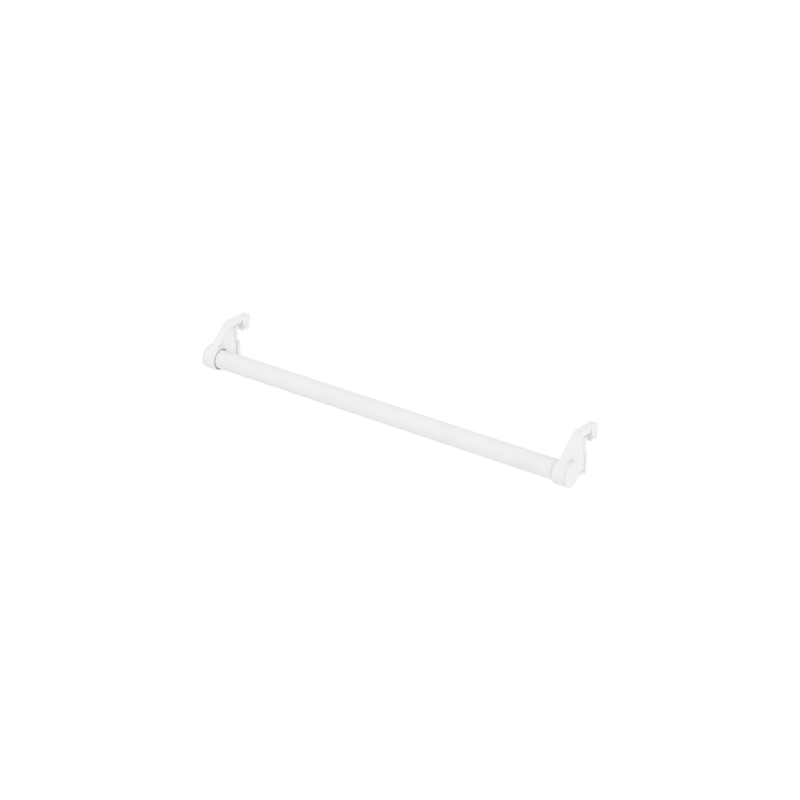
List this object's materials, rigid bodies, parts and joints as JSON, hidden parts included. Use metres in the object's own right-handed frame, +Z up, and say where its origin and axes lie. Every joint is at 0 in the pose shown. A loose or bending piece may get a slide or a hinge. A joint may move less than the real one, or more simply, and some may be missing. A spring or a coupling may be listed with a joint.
{
  "type": "hanging rail with hook brackets",
  "caption": "Round white tube carried at both ends in moulded brackets whose arms hook back over a rail, with flat end caps and soft back pads.",
  "frame": {"origin": "on the tube axis, halfway between the two brackets", "axes": "+X along the tube to the right bracket, +Y back towards the rail that the hooks go over, +Z up"},
  "size_m": [0.56, 0.0767, 0.0572],
  "materials": {
    "powder_white": "satin powder coat",
    "moulded_white": "satin moulded",
    "cap_white": "satin moulded",
    "pad_white": "matte",
    "liner_grey": "matte",
    "nylon_cream": "natural"
  },
  "bodies": {
    "rod": {"rod_tube": "powder_white"},
    "left_ring": {"left_grip_ring": "nylon_cream"},
    "left_bracket": {"left_bracket_arm": "moulded_white", "left_hook_liner": "liner_grey", "left_rear_pad": "pad_white"},
    "left_cap": {"left_end_cap": "cap_white"},
    "right_ring": {"right_grip_ring": "nylon_cream"},
    "right_bracket": {"right_bracket_arm": "moulded_white", "right_hook_liner": "liner_grey", "right_rear_pad": "pad_white"},
    "right_cap": {"right_end_cap": "cap_white"}
  },
  "joints": [
    {"name": "left_slide", "type": "slide", "parent": "rod", "child": "left_ring", "axis": [1, 0, 0], "range_m": [0, 0.2]},
    {"name": "left_swivel", "type": "hinge", "parent": "left_ring", "child": "left_bracket", "pos_m": [-0.2685, 0, 0], "axis": [1, 0, 0], "continuous": true},
    {"name": "left_cap_pull", "type": "slide", "parent": "rod", "child": "left_cap", "axis": [-1, 0, 0], "range_m": [0, 0.018]},
    {"name": "right_slide", "type": "slide", "parent": "rod", "child": "right_ring", "axis": [-1, 0, 0], "range_m": [0, 0.2]},
    {"name": "right_swivel", "type": "hinge", "parent": "right_ring", "child": "right_bracket", "pos_m": [0.2685, 0, 0], "axis": [1, 0, 0], "continuous": true},
    {"name": "right_cap_pull", "type": "slide", "parent": "rod", "child": "right_cap", "axis": [1, 0, 0], "range_m": [0, 0.018]}
  ]
}
